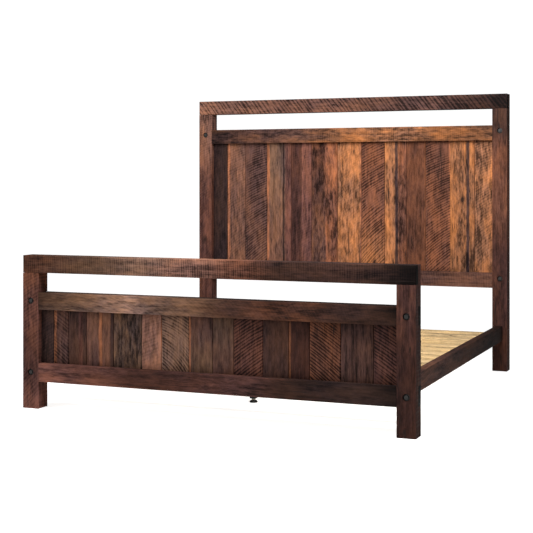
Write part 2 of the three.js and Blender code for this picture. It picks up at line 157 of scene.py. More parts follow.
# The honey boards 7, 9, 12 and 13 carry stronger warm patches: partly the wood's own blotchy tone,
# partly painted highlight for the sunlit glow on the headboard.
HEADBOARD_BOARDS = [
    fading("umber", 0.68, 0.62, saw=(30, 0.12)),
    fading("tan", 0.68, 0.74, left=("orange", 0.8, -0.72), saw=(30, 0.16)),
    fading("brown", 0.85, 0.75, saw=(28, 0.5), pitch=0.015, streaks=0.2),
    dict(tones=[(0, "tan", 0.72), (1, "olive", 1.1)], left=("orange", 0.7, -0.82),
         right=("russet", 0.8, 0.45), band=("umber", 0.7, 0.33, 0.08), splits=0.6),
    fading("russet", 0.48, 0.43, right=("russet", 0.88, 0.0), saw=(24, 0.1)),
    dict(tones=[(0, "brown", 0.72), (1, "chestnut", 0.6)], right=("chestnut", 1.0, 0.05),
         patches=0.8),
    dict(tones=[(0, "honey", 0.84), (0.6, "honey", 1.02), (1, "honey", 0.92)],
         right=("orange", 0.85, 0.85), streaks=0.3, saw=(35, 0.08), patches=0.65),
    dict(tones=[(0, "honey", 0.8), (0.5, "chestnut", 0.95), (1, "chestnut", 0.75)],
         saw=(36, 0.54), pitch=0.016, streaks=0.2),
    fading("honey", 0.95, 0.9, band=("umber", 0.9, 0.05, 0.14),
           right=("chestnut", 0.85, 0.2), patches=0.65),
    fading("chestnut", 0.58, 0.6, right=("orange", 0.5, 0.85), streaks=0.25, saw=(30, 0.04)),
    fading("chestnut", 0.82, 0.68, right=("orange", 0.6, 0.85),
           saw=(30, 0.56), pitch=0.015, streaks=0.2),
    fading("honey", 0.76, 0.76, band=("umber", 0.9, 0.4, 0.13), splits=0.5, patches=0.65),
    fading("honey", 0.88, 1.0, saw=(32, 0.16), patches=0.65),
]
FOOTBOARD_BOARDS = [
    fading("umber", 0.75, 0.65, saw=(30, 0.2)),
    fading("brown", 0.7, 0.62, left=("orange", 0.45, -0.65), saw=(-35, 0.35)),
    fading("brown", 0.45, 0.4, band=("russet", 0.5, 0.3, 0.2)),
    dict(tones=[(0, "brown", 0.75), (1, "tan", 0.5)], band=("orange", 0.5, 0.0, 0.12),
         right=("umber", 0.7, 0.7), splits=0.5),
    fading("olive", 0.6, 0.7, patches=0.8),
    fading("tan", 1.0, 1.05, right=("orange", 0.7, 0.85), streaks=0.25, saw=(20, 0.12)),
    fading("olive", 1.15, 1.05, saw=(-35, 0.55), pitch=0.014, bow=1.6, streaks=0.2),
    dict(tones=[(0, "olive", 0.62), (1, "brown", 0.7)], left=("orange", 0.5, -0.85)),
    dict(tones=[(0, "brown", 0.62), (1, "olive", 0.6)], knots=0.35),
    fading("russet", 0.42, 0.38, saw=(33, 0.65), pitch=0.014, streaks=0.2),
    fading("brown", 0.38, 0.36, streaks=0.3),
    fading("russet", 0.25, 0.22, left=("orange", 0.3, -0.8)),
    fading("chestnut", 0.6, 0.56, saw=(-35, 0.7), pitch=0.013, streaks=0.2),
    fading("brown", 0.48, 0.42, streaks=0.6),
    fading("russet", 0.38, 0.34, saw=(-32, 0.62), pitch=0.014, streaks=0.2),
]
BOARD_LOOKS = {"footboard": FOOTBOARD_BOARDS, "headboard": HEADBOARD_BOARDS}

MEMBER_LOOKS = {
    "headboard_cap_rail": dict(
        tones=[(0, "tan", 0.9), (0.15, "tan", 0.68), (0.3, "brown", 0.85), (0.45, "brown", 0.8),
               (0.62, "brown", 0.6), (0.75, "brown", 0.64), (0.88, "brown", 0.3),
               (1, "umber", 0.22)],
        saw=(38, 0.55), pitch=0.022, knots=0.25, bow=0.0, streaks=0.2),
    "headboard_upper_rail": dict(
        tones=[(0, "brown", 0.28), (0.2, "brown", 0.62), (0.35, "tan", 0.48),
               (0.48, "honey", 0.62), (0.56, "honey", 0.7), (0.68, "honey", 0.86),
               (0.8, "honey", 0.46), (1, "honey", 0.46)],
        saw=(3, 0.2), pitch=0.012, patches=0.7, knots=0.3, streaks=0.3),
    "headboard_lower_rail": fading("brown", 0.6, 0.65, saw=(20, 0.2)),
    "headboard_post_left": dict(
        tones=[(0, "russet", 0.45), (0.6, "russet", 0.58), (0.9, "tan", 0.86), (1, "tan", 0.86)],
        saw=(40, 0.14)),
    "headboard_post_right": dict(
        tones=[(0, "russet", 0.3), (0.4, "russet", 0.33), (0.6, "chestnut", 0.7),
               (0.8, "chestnut", 0.65), (0.88, "brown", 0.34), (1, "brown", 0.36)],
        knots=0.5, splits=0.6),
    "footboard_cap_rail": dict(
        tones=[(0, "chestnut", 0.45), (0.2, "olive", 0.6), (0.32, "olive", 1.3),
               (0.45, "tan", 0.98), (0.58, "chestnut", 0.72), (0.68, "brown", 0.25),
               (0.85, "brown", 0.3), (1, "umber", 0.1)],
        saw=(2, 0.3), pitch=0.012, splits=0.4, streaks=0.3),
    "footboard_upper_rail": dict(
        tones=[(0, "brown", 0.15), (0.14, "olive", 0.8), (0.3, "olive", 2.0), (0.42, "olive", 0.85),
               (0.56, "brown", 0.32), (0.7, "chestnut", 0.42), (0.86, "brown", 0.24),
               (1, "umber", 0.05)],
        saw=(50, 0.12), patches=0.5, streaks=0.3),
    "footboard_lower_rail": dict(
        tones=[(0, "russet", 0.85), (0.2, "russet", 0.6), (0.33, "russet", 0.25),
               (0.57, "russet", 0.45), (0.7, "brown", 0.18), (0.85, "umber", 0.45),
               (1, "umber", 0.07)],
        nails=0.5, splits=0.4, streaks=0.35),
    "footboard_post_left": dict(
        tones=[(0, "russet", 0.72), (0.3, "russet", 0.42), (0.7, "russet", 0.55),
               (1, "chestnut", 0.66)],
        saw=(35, 0.22), wear=0.9, streaks=0.3),
    # Painted shade: the right post's tones are set much darker than the left post's, for the shade
    # on the bed's right side.
    "footboard_post_right": dict(
        tones=[(0, "russet", 0.2), (0.3, "russet", 0.2), (0.8, "russet", 0.38),
               (1, "russet", 0.38)],
        splits=0.8, streaks=0.3),
}
# Painted shade: the side rails darken from the foot end towards the head, for the deep shade along
# the bed's side.
SIDE_RAIL_PAINTED_SHADE_LOOK = dict(
    tones=[(0, "brown", 0.6), (0.25, "brown", 0.5), (0.6, "brown", 0.24), (1, "brown", 0.16)],
    saw=(50, 0.3))
LEDGER_LOOK = fading("pine", 0.8, 0.8, streaks=0.3, patches=0.2)
SLAT_LOOK = fading("pine", 0.95, 1.0, streaks=0.25, patches=0.2, knots=0.15)

DEFAULT_LOOK = dict(
    streaks=0.32, rings=0.12, saw=(30, 0.03), pitch=0.016, bow=0.5, left=None, right=None,
    band=None, knots=0.2, splits=0.35, patches=0.42, wear=0.4, nails=0.0,
)


# ---- building node trees


class NodeBench:
    """Adds nodes to one tree and joins them."""

    def __init__(self, tree, results=()):
        self.tree = tree
        self.results = results

    def add(self, kind, **settings):
        """A new shader node, whose kind is given without the word ShaderNode."""
        node = self.tree.nodes.new(f"ShaderNode{kind}")
        for key, value in settings.items():
            setattr(node, key, value)
        return node

    def feed(self, socket, value):
        """Joins a socket to another one, or sets its value."""
        if isinstance(value, bpy.types.NodeSocket):
            self.tree.links.new(value, socket)
        elif value is not None:
            socket.default_value = value

    def feed_all(self, node, **values):
        """Feeds a node's inputs by their names, with underscores for the spaces."""
        for name, value in values.items():
            self.feed(node.inputs[name.replace("_", " ")], value)

    def feed_in_order(self, node, values):
        """Feeds a node's first inputs and returns its first output."""
        for socket, value in zip(node.inputs, values):
            self.feed(socket, value)
        return node.outputs[0]

    def give(self, name, value):
        """Feeds one of a group's outputs."""
        self.feed(self.results[name], value)

    def math(self, operation, *values):
        return self.feed_in_order(self.add("Math", operation=operation), values)

    plus = partialmethod(math, "ADD")
    less = partialmethod(math, "SUBTRACT")
    times = partialmethod(math, "MULTIPLY")
    times_plus = partialmethod(math, "MULTIPLY_ADD")

    def flip(self, value):
        """1 for 0 and 0 for 1."""
        return self.less(1.0, value)

    def nudge(self, value, noise, reach):
        """A value pushed up and down by a noise round one half."""
        return self.times_plus(self.less(noise, 0.5), reach, value)

    def total(self, value, *parts):
        """The value with each part added in, times its weight."""
        for part, weight in parts:
            value = self.times_plus(part, weight, value)
        return value

    def vector(self, operation, *values):
        return self.feed_in_order(self.add("VectorMath", operation=operation), values)

    def scaled(self, vector, factor):
        node = self.add("VectorMath", operation="SCALE")
        self.feed_all(node, Scale=factor)
        return self.feed_in_order(node, (vector,))

    def split(self, vector):
        node = self.add("SeparateXYZ")
        self.feed(node.inputs[0], vector)
        return node.outputs

    def join(self, x, y, z):
        return self.feed_in_order(self.add("CombineXYZ"), (x, y, z))

    def noise(self, vector, scale, stretch=(1, 1, 1), detail=3.0, roughness=0.55):
        """Noise between about 0.25 and 0.75, drawn out along the axes whose stretch is small."""
        node = self.add("TexNoise")
        place = self.vector("MULTIPLY", vector, stretch)
        self.feed_all(node, Vector=place, Scale=scale, Detail=detail, Roughness=roughness)
        return node.outputs["Fac"]

    def ease(self, value, low, high):
        """0 below low, 1 above high, and a smooth rise between them."""
        node = self.add("MapRange", interpolation_type="SMOOTHSTEP")
        self.feed_all(node, Value=value, From_Min=low, From_Max=high)
        return node.outputs[0]

    def mix(self, factor, first, second):
        """A blend of two colours, by the sockets that a Mix node keeps for colours."""
        node = self.add("Mix", data_type="RGBA")
        for index, value in ((0, factor), (6, first), (7, second)):
            self.feed(node.inputs[index], value)
        return node.outputs[2]

    def object_coords(self):
        return self.add("TexCoord").outputs["Object"]

    def bump(self, height, depth, strength=1.0):
        """A normal from a height, where the depth is in metres."""
        node = self.add("Bump")
        self.feed_all(node, Height=height, Distance=depth, Strength=strength)
        return node.outputs[0]

    def use(self, group, **values):
        node = self.add("Group", node_tree=group)
        self.feed_all(node, **values)
        return node.outputs


FLOAT = "NodeSocketFloat"
COLOUR = "NodeSocketColor"
SOCKET_KINDS = {float: FLOAT, 3: "NodeSocketVector", 4: COLOUR}
ORIGIN = (0.0, 0.0, 0.0)
FULL_TURN = 2 * math.pi
WHITE = (1.0, 1.0, 1.0, 1.0)
DEEP_SHADE = (0.02, 0.012, 0.01, 1.0)  # knots, cracks and nail holes


def new_group(name, inputs, *outputs):
    """A bench for an empty shader group, and the sockets that its inputs come in by."""
    group = bpy.data.node_groups.new(name, "ShaderNodeTree")
    for label, value in inputs.items():
        kind = SOCKET_KINDS[float if isinstance(value, float) else len(value)]
        socket = group.interface.new_socket(label, in_out="INPUT", socket_type=kind)
        socket.default_value = value
    for label in outputs:
        kind = COLOUR if label == "Color" else FLOAT
        group.interface.new_socket(label, in_out="OUTPUT", socket_type=kind)
    results = group.nodes.new("NodeGroupOutput").inputs
    return NodeBench(group, results), group.nodes.new("NodeGroupInput").outputs


def grain_group():
    """Fine fibres, broader streaks and growth rings, all along Z."""
    bench, given = new_group(
        "Wood grain", {"Vector": ORIGIN, "Ring Spacing": 0.0055},
        "Fibres", "Streaks", "Rings", "Figure",
    )
    place = given["Vector"]
    fibres = bench.noise(place, 520, (1, 1, 0.03), 2.0, 0.6)
    bench.give("Fibres", bench.ease(fibres, 0.3, 0.7))
    streaks = bench.noise(place, 70, (1, 1, 0.06), 6.0, 0.68)
    bench.give("Streaks", bench.ease(streaks, 0.34, 0.66))
    figure = bench.noise(place, 55, (1, 1, 0.3), 8.0, 0.72)
    bench.give("Figure", bench.ease(figure, 0.34, 0.66))
    sway = bench.noise(place, 7, (1, 1, 0.3), 2.0, 0.5)
    x, y, z = bench.split(place)
    x = bench.nudge(x, sway, 0.14)
    y = bench.times_plus(z, 0.035, bench.plus(y, 0.05))
    radius = bench.math("SQRT", bench.plus(bench.times(x, x), bench.times(y, y)))
    turns = bench.math("DIVIDE", radius, given["Ring Spacing"])
    wave = bench.math("SINE", bench.times(turns, FULL_TURN))
    bench.give("Rings", bench.math("POWER", bench.times_plus(wave, 0.5, 0.5), 1.6))
    return bench.tree


def saw_group():
    """Slanting, slightly bowed marks from a circular saw, broken up and stronger in places."""
    bench, given = new_group(
        "Saw marks",
        {"Vector": ORIGIN, "Seeded Vector": ORIGIN, "Angle": 0.5, "Pitch": 0.013, "Bow": 0.6},
        "Marks",
    )
    x, _, z = bench.split(given["Vector"])
    sine = bench.math("SINE", given["Angle"])
    cosine = bench.math("COSINE", given["Angle"])
    across = bench.less(bench.times(z, cosine), bench.times(x, sine))
    along = bench.plus(bench.times(x, cosine), bench.times(z, sine))
    bowed = bench.times_plus(bench.times(along, along), given["Bow"], across)
    shift = bench.vector("SUBTRACT", given["Seeded Vector"], given["Vector"])
    lie = bench.vector("ADD", bench.join(along, 0.0, across), shift)
    level = bench.vector("ADD", bench.join(0.0, 0.0, bowed), shift)
    uneven = bench.noise(level, 42, detail=2.0, roughness=0.6)
    drift = bench.noise(given["Seeded Vector"], 5, detail=1.0, roughness=0.5)
    turns = bench.math("DIVIDE", bowed, given["Pitch"])
    turns = bench.total(turns, (uneven, 1.3), (drift, 0.6))
    wave = bench.math("SINE", bench.times(turns, FULL_TURN))
    broken = bench.noise(lie, 60, (0.16, 1, 1), 3.0, 0.65)
    wave = bench.nudge(wave, broken, 5.0)
    marks = bench.ease(wave, -0.9, 0.5)
    strong = bench.ease(bench.noise(given["Seeded Vector"], 6, (1, 1, 0.7), 2.0, 0.5), 0.25, 0.48)
    bench.give("Marks", bench.times_plus(bench.less(marks, 1.0), strong, 1.0))
    return bench.tree


def spot_group():
    """Round spots in some cells of a loose lattice, for knots and nail holes."""
    bench, given = new_group(
        "Spots",
        {"Vector": ORIGIN, "Scale": 8.0, "Size": 0.12, "Amount": 0.1},
        "Core", "Halo",
    )
    cells = bench.add("TexVoronoi")
    bench.feed(cells.inputs["Vector"], bench.vector("MULTIPLY", given["Vector"], (1.0, 0.15, 0.5)))
    bench.feed(cells.inputs["Scale"], given["Scale"])
    chosen = bench.math("LESS_THAN", bench.split(cells.outputs["Color"])[0], given["Amount"])
    distance = bench.math("DIVIDE", cells.outputs["Distance"], given["Size"])
    ragged = bench.noise(given["Vector"], 120, (1, 1, 0.3), 2.0, 0.5)
    distance = bench.nudge(distance, ragged, 0.9)
    core = bench.flip(bench.ease(distance, 0.55, 1.0))
    halo = bench.flip(bench.ease(distance, 0.9, 2.2))
    bench.give("Core", bench.times(core, chosen))
    bench.give("Halo", bench.times(halo, chosen))
    return bench.tree


def split_group():
    """Thin drying cracks along the grain."""
    bench, given = new_group(
        "Drying splits", {"Vector": ORIGIN, "Amount": 0.3}, "Splits",
    )
    ridges = bench.noise(given["Vector"], 34, (1, 1, 0.035), 1.5, 0.5)
    away = bench.math("ABSOLUTE", bench.less(ridges, 0.5))
    line = bench.flip(bench.ease(away, 0.003, 0.012))
    where = bench.noise(given["Vector"], 6, (1, 1, 0.5), 2.0, 0.5)
    level = bench.times_plus(given["Amount"], -0.35, 0.68)
    chosen = bench.ease(where, level, bench.plus(level, 0.05))
    bench.give("Splits", bench.times(line, chosen))
    return bench.tree


def edge_group():
    """How near a point is to the edges of its block: 1 on an edge, 0 further than the width."""
    bench, given = new_group(
        "Block edges",
        {"Vector": ORIGIN, "Half Size": (0.05, 0.05, 1.0), "Width": 0.008},
        "Edge", "End",
    )
    room = bench.vector("SUBTRACT", given["Half Size"], bench.vector("ABSOLUTE", given["Vector"]))
    x, y, z = bench.split(room)
    middle = bench.math("MAXIMUM", bench.math("MINIMUM", x, y),
                        bench.math("MINIMUM", bench.math("MAXIMUM", x, y), z))
    near = bench.flip(bench.ease(middle, 0.0, given["Width"]))
    bench.give("Edge", near)
    bench.give("End", bench.math("LESS_THAN", z, 0.0016))
    return bench.tree


def timber_group():
    """Rough-sawn timber with its grain along Z, centred on the piece."""
    grain, saw, spots, splits, edges = (
        grain_group(), saw_group(), spot_group(), split_group(), edge_group())
    bench, given = new_group(
        "Rough-sawn timber",
        {"Vector": ORIGIN, "Half Size": (0.05, 0.05, 1.0), "Seed": 0.0,
         "Tone": (0.1, 0.05, 0.03, 1.0),
         "Left Tone": DEEP_SHADE, "Left Edge": -2.0, "Right Tone": DEEP_SHADE, "Right Edge": 2.0,
         "Band Tone": DEEP_SHADE, "Band Place": 0.0, "Band Width": 0.0,
         "Streaks": 0.5, "Rings": 0.25, "Saw Angle": 0.5, "Saw Strength": 0.3, "Saw Pitch": 0.013,
         "Saw Bow": 0.6, "Knots": 0.1, "Splits": 0.3, "Patches": 0.4, "Wear": 0.4, "Nails": 0.0},
        "Color", "Roughness", "Height",
    )
    place = given["Vector"]
    shift = bench.scaled((1.31, 0.73, 2.17), given["Seed"])
    seeded = bench.vector("ADD", place, shift)
    wood = bench.use(grain, Vector=seeded)
    marks = bench.use(saw, Vector=place, Seeded_Vector=seeded, Angle=given["Saw Angle"],
                      Pitch=given["Saw Pitch"], Bow=given["Saw Bow"])["Marks"]

    # strips of another tone along the left edge, the right edge and between them
    share = bench.split(bench.vector("DIVIDE", place, given["Half Size"]))[0]
    wobble = bench.noise(seeded, 14, (0.4, 0.4, 0.5), 4.0, 0.6)
    share = bench.nudge(share, wobble, 0.2)
    from_left = bench.less(share, given["Left Edge"])
    left = bench.flip(bench.ease(from_left, -0.03, 0.04))
    right = bench.ease(bench.less(share, given["Right Edge"]), -0.03, 0.03)
    from_band = bench.math("ABSOLUTE", bench.less(share, given["Band Place"]))
    from_band = bench.less(from_band, given["Band Width"])
    band = bench.flip(bench.ease(from_band, -0.05, 0.03))
    band = bench.times(band, bench.math("GREATER_THAN", given["Band Width"], 0.001))
    base = bench.mix(left, given["Tone"], given["Left Tone"])
    base = bench.mix(right, base, given["Right Tone"])
    base = bench.mix(band, base, given["Band Tone"])

    # light and shade of the grain, the stains and the saw
    patches = bench.ease(bench.noise(seeded, 8, (1, 1, 0.35), 7.0, 0.68), 0.33, 0.67)
    shade = 1.0
    for value, strength, rest in (
        (wood["Streaks"], given["Streaks"], 0.5),
        (wood["Rings"], given["Rings"], 0.4),
        (patches, given["Patches"], 0.5),
        (marks, given["Saw Strength"], 0.72),
        (wood["Figure"], given["Patches"], 0.5),
        (wood["Fibres"], 0.2, 0.5),
    ):
        swing = bench.less(value, rest)
        shade = bench.times_plus(bench.times(swing, 1.6), strength, shade)
    block = bench.use(edges, Vector=place, Half_Size=given["Half Size"])
    rubbed = bench.times(block["Edge"], bench.ease(wobble, 0.35, 0.6))
    shade = bench.times_plus(bench.times(rubbed, given["Wear"]), 0.9, shade)
    shade = bench.math("MAXIMUM", shade, 0.18)
    shown = bench.scaled(base, shade)
    warmth = bench.times(bench.less(patches, 0.5), given["Patches"])
    red, blue = bench.times_plus(warmth, 0.35, 1.0), bench.times_plus(warmth, -0.8, 1.0)
    shown = bench.vector("MULTIPLY", shown, bench.join(red, 1.0, blue))

    # knots, nail holes, splits and end grain
    knot = bench.use(spots, Vector=seeded, Scale=6.5, Size=0.07, Amount=given["Knots"])
    nail = bench.use(spots, Vector=seeded, Scale=13.0, Size=0.035, Amount=given["Nails"])
    cracks = bench.use(splits, Vector=seeded, Amount=given["Splits"])["Splits"]
    for mark, depth in (
        (knot["Halo"], 0.55), (knot["Core"], 0.9), (nail["Core"], 0.95), (cracks, 0.85),
    ):
        shown = bench.mix(bench.times(mark, depth), shown, DEEP_SHADE)
    end_shade = bench.times_plus(wood["Rings"], 0.55, 0.32)
    ends = bench.scaled(shown, end_shade)
    shown = bench.mix(block["End"], shown, ends)
    bench.give("Color", shown)

    bench.give("Roughness", bench.total(0.62, (wood["Fibres"], 0.14), (marks, 0.12)))
    saw_depth = bench.times(given["Saw Strength"], 0.9)
    bench.give("Height", bench.total(
        bench.times(wood["Fibres"], 0.25), (wood["Rings"], 0.15), (marks, saw_depth),
        (cracks, -1.6), (nail["Core"], -1.5)))
    return bench.tree


def along_group():
    """Where a point lies along its piece, from 0 to 1, with a ragged front."""
    bench, given = new_group(
        "Place along the grain",
        {"Vector": ORIGIN, "Half Length": 1.0, "Seed": 0.0}, "Place",
    )
    shift = bench.scaled((0.9, 1.7, 1.1), given["Seed"])
    seeded = bench.vector("ADD", given["Vector"], shift)
    ragged = bench.noise(seeded, 22, (1, 1, 0.12), 3.0, 0.6)
    share = bench.math("DIVIDE", bench.split(given["Vector"])[2], given["Half Length"])
    share = bench.times_plus(share, 0.5, 0.5)
    bench.give("Place", bench.nudge(share, ragged, 0.16))
    return bench.tree


MADE_GROUPS = {}


def shared_group(maker):
    """A group that is made once, however many materials ask for it."""
    if maker not in MADE_GROUPS:
        MADE_GROUPS[maker] = maker()
    return MADE_GROUPS[maker]


def linear(value, gain=1.0):
    """A screen colour as scene light, with its opacity."""
    def step(v):
        return v / 12.92 if v <= 0.04045 else ((v + 0.055) / 1.055) ** 2.4
    return tuple(min(step(v) * gain, 0.95) for v in value) + (1.0,)


def tone(name, gain=1.0):
    """One of the timber's tones, lighter or darker."""
    return linear(getattr(bpy.context.scene.bed_timber, name), gain)


def new_material(name):
    """A material with nothing in it but its shader."""
    material = bpy.data.materials.new(name)
    material.use_nodes = True
    shader = material.node_tree.nodes["Principled BSDF"]
    return material, NodeBench(material.node_tree), shader


SAWN_DEPTH = 0.0009  # of the fibres and saw marks that only the light shows
DRY_SHEEN = 0.08     # bare timber hardly shines


def timber(name, box, grain, look, seed):
    """A material for one piece of timber that fills the box, with the grain lying as given."""
    look = {**DEFAULT_LOOK, **look}
    low, high = box
    turn = Euler(grain).to_matrix()
    centre = turn @ ((low + high) / 2)
    half = Vector(abs(v) for v in turn @ ((high - low) / 2))
    material, bench, shader = new_material(name)
    mapping = bench.add("Mapping", vector_type="POINT")
    bench.feed_all(mapping, Vector=bench.object_coords(), Rotation=grain, Location=-centre)
    place = mapping.outputs[0]

    along = bench.use(shared_group(along_group), Vector=place, Half_Length=half.z, Seed=seed)
    ramp = bench.add("ValToRGB")
    ramp.color_ramp.interpolation = "EASE"
    stops = ramp.color_ramp.elements
    while len(stops) < len(look["tones"]):
        stops.new(0.5)
    for stop, (where, tone_name, gain) in zip(stops, look["tones"]):
        stop.position = where
        stop.color = tone(tone_name, gain)
    bench.feed(ramp.inputs[0], along["Place"])

    angle, strength = look["saw"]
    values = dict(
        Vector=place, Half_Size=half, Seed=seed, Tone=ramp.outputs[0],
        Saw_Angle=math.radians(angle), Saw_Strength=strength, Saw_Pitch=look["pitch"],
        Saw_Bow=look["bow"],
    )
    for effect in ("streaks", "rings", "knots", "splits", "patches", "wear", "nails"):
        values[effect.title()] = look[effect]
    for side in ("left", "right"):
        if look[side]:
            tone_name, gain, edge = look[side]
            values[f"{side.title()}_Tone"] = tone(tone_name, gain)
            values[f"{side.title()}_Edge"] = edge
    if look["band"]:
        tone_name, gain, where, width = look["band"]
        values.update(Band_Tone=tone(tone_name, gain), Band_Place=where, Band_Width=width)
    sawn = bench.use(shared_group(timber_group), **values)

    bench.feed_all(
        shader, Base_Color=sawn["Color"], Roughness=sawn["Roughness"],
        Normal=bench.bump(sawn["Height"], SAWN_DEPTH, 0.8), Specular_IOR_Level=DRY_SHEEN,
    )
    return material


def speckle_group():
    """Fine speckle and broader smudges for coated metal and plastic."""
    bench, given = new_group(
        "Speckle", {"Vector": ORIGIN, "Base": (0.5, 0.5, 0.5, 1.0), "Contrast": 0.2,
                    "Roughness": 0.5},
        "Color", "Roughness", "Height",
    )
    fine = bench.noise(given["Vector"], 1400, detail=2.0, roughness=0.6)
    broad = bench.ease(bench.noise(given["Vector"], 45, roughness=0.6), 0.35, 0.65)
    swing = bench.less(bench.plus(broad, fine), 1.0)
    shade = bench.times_plus(swing, given["Contrast"], 1.0)
    bench.give("Color", bench.scaled(given["Base"], shade))
    bench.give("Roughness", bench.times_plus(broad, 0.12, given["Roughness"]))
    bench.give("Height", fine)
    return bench.tree


def speckled(name, setting, roughness, metallic=0.0, contrast=0.25, gain=1.0):
    """A coated metal or plastic finish in the colour of a hardware setting."""
    base = linear(getattr(bpy.context.scene.bed_hardware, setting), gain)
    material, bench, shader = new_material(name)
    finish = bench.use(shared_group(speckle_group), Vector=bench.object_coords(), Base=base,
                       Contrast=contrast, Roughness=roughness)
    bench.feed_all(
        shader, Base_Color=finish["Color"], Roughness=finish["Roughness"], Metallic=metallic,
        Normal=bench.bump(finish["Height"], 0.0002, 0.5),
    )
    return material


def woven(name, setting):
    """Flat webbing, woven across and along."""
    base = linear(getattr(bpy.context.scene.bed_hardware, setting))
    material, bench, shader = new_material(name)
    coords = bench.object_coords()
    x, y, _ = bench.split(coords)
    warp = bench.math("SINE", bench.times(x, FULL_TURN / 0.0022))
    weft = bench.math("SINE", bench.times(y, FULL_TURN / 0.003))
    weave = bench.times_plus(bench.times(warp, weft), 0.5, 0.5)
    soil = bench.ease(bench.noise(coords, 25, (1, 0.4, 1), 3.0, 0.6), 0.3, 0.7)
    shade = bench.total(0.78, (weave, 0.18), (soil, 0.1))
    bench.feed_all(shader, Base_Color=bench.scaled(base[:3], shade), Roughness=0.85,
                   Normal=bench.bump(weave, 0.0003))
    return material


# ---- modelling


def set_mode(mode):
    bpy.ops.object.mode_set(mode=mode)


def select_only(*pieces):
    """Leaves edit mode and selects these pieces alone, the first one active."""
    if bpy.context.mode != "OBJECT":
        set_mode("OBJECT")
    bpy.ops.object.select_all(action="DESELECT")
    for piece in pieces:
        piece.select_set(True)
    if pieces:
        bpy.context.view_layer.objects.active = pieces[0]


def set_in_place(piece):
    """Moves a piece's place, turn and size into its mesh."""
    select_only(piece)
    bpy.ops.object.transform_apply(location=True, rotation=True, scale=True)


def take_new(name, scale=(1, 1, 1)):
    """Names the piece that was just added, scales it and sets it in place."""
    piece = bpy.context.active_object
    piece.name = piece.data.name = name
    piece.scale = scale
    set_in_place(piece)
    return piece


def add_block(name, low, high):
    """A block between two corners."""
    select_only()
    low, high = Vector(low), Vector(high)
    bpy.ops.mesh.primitive_cube_add(size=1, location=(low + high) / 2)
    return take_new(name, high - low)


def add_round(name, radius, low, high):
    """A round bar between two points that differ along X."""
    select_only()
    low, high = Vector(low), Vector(high)
    bpy.ops.mesh.primitive_cylinder_add(
        vertices=16, radius=radius, depth=(high - low).length,
        location=(low + high) / 2, rotation=(0, math.pi / 2, 0),
    )
    return take_new(name)


def copy_piece(piece, name, shift):
    """A copy of a piece with a mesh of its own, moved over by the shift."""
    copy = bpy.data.objects.new(name, piece.data.copy())
    copy.data.name = name
    bpy.context.scene.collection.objects.link(copy)
    copy.location = shift
    set_in_place(copy)
    return copy


def delete_piece(piece):
    """Takes away a piece that was only there to be copied."""
    mesh = piece.data
    bpy.data.objects.remove(piece)
    bpy.data.meshes.remove(mesh)


def join_pieces(pieces):
    """Joins pieces into the first one."""
    select_only(*pieces)
    bpy.ops.object.join()
    return pieces[0]


def copy_node(node, name):
    """A merged copy of a CAD node's mesh, with its flat faces joined up again."""
    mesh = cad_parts[node].data.copy()
    mesh.materials.clear()
    piece = bpy.data.objects.new(name, mesh)
    mesh.name = name
    bpy.context.scene.collection.objects.link(piece)
    select_only(piece)
    set_mode("EDIT")
    bpy.ops.mesh.select_all(action="SELECT")
    bpy.ops.mesh.remove_doubles(threshold=TOUCHING)
    bpy.ops.mesh.dissolve_limited(angle_limit=math.radians(0.5))
    set_mode("OBJECT")
    return piece


def select_faces(piece, wanted):
    """Goes into edit mode with only the faces whose centre and normal are wanted selected."""
    select_only(piece)
    set_mode("EDIT")
    bpy.ops.mesh.select_mode(type="FACE")
    bpy.ops.mesh.select_all(action="DESELECT")
    set_mode("OBJECT")
    for face in piece.data.polygons:
        face.select = wanted(face.center, face.normal)
    set_mode("EDIT")


def apply_modifier(piece, kind, **settings):
    """Adds a modifier, sets it and applies it."""
    select_only(piece)
    modifier = piece.modifiers.new(kind.title(), kind)
    for key, value in settings.items():
        setattr(modifier, key, value)
    bpy.ops.object.modifier_apply(modifier=modifier.name)


def ease_edges(piece, width, segments=2, angle=40):
    """Rounds every sharp edge."""
    apply_modifier(piece, "BEVEL", width=width, segments=segments, limit_method="ANGLE",
                   angle_limit=math.radians(angle), use_clamp_overlap=True)


def cut_round(place, normal):
    """Cuts edges round the piece in edit mode, where a plane goes through it."""
    bpy.ops.mesh.select_all(action="SELECT")
    bpy.ops.mesh.bisect(plane_co=place, plane_no=normal)


def slice_piece(piece, axis, step):
    """Cuts edges round a piece at even steps along one axis."""
    low, high = box_of(piece)
    count = max(int((high[axis] - low[axis]) / step), 1)
    normal = [0, 0, 0]
    normal[axis] = 1
    select_only(piece)
    set_mode("EDIT")
    for index in range(1, count):
        place = low.copy()
        place[axis] = low[axis] + (high[axis] - low[axis]) * index / count
        cut_round(place, normal)
    set_mode("OBJECT")


def box_of(piece):
    """The lowest and highest corners of a piece's own mesh."""
    corners = [Vector(corner) for corner in piece.bound_box]
    return (Vector(map(min, zip(*corners))), Vector(map(max, zip(*corners))))


def hollow_out(piece, depth):
    """Sinks a piece's surface a little here and there, never outwards."""
    apply_modifier(piece, "DISPLACE", texture=sawn_texture(), texture_coords="LOCAL",
                   strength=depth, mid_level=1.0)


def sawn_texture():
    """The slow hollows of a sawn face."""
    texture = bpy.data.textures.get("Sawn hollows")
    if texture is None:
        texture = bpy.data.textures.new("Sawn hollows", "CLOUDS")
        texture.noise_scale = 0.07
        texture.noise_depth = 3
    return texture


def finish_piece(piece, material, nodes=(), body=FRAME_BODY, smooth=35):
    """Shades a piece, gives it its finish and fixes it to its body."""
    select_only(piece)
    bpy.ops.object.shade_smooth_by_angle(angle=math.radians(smooth))
    piece.data.materials.append(material)
    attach(piece, body)
    if nodes:
        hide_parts(*nodes)
    return piece


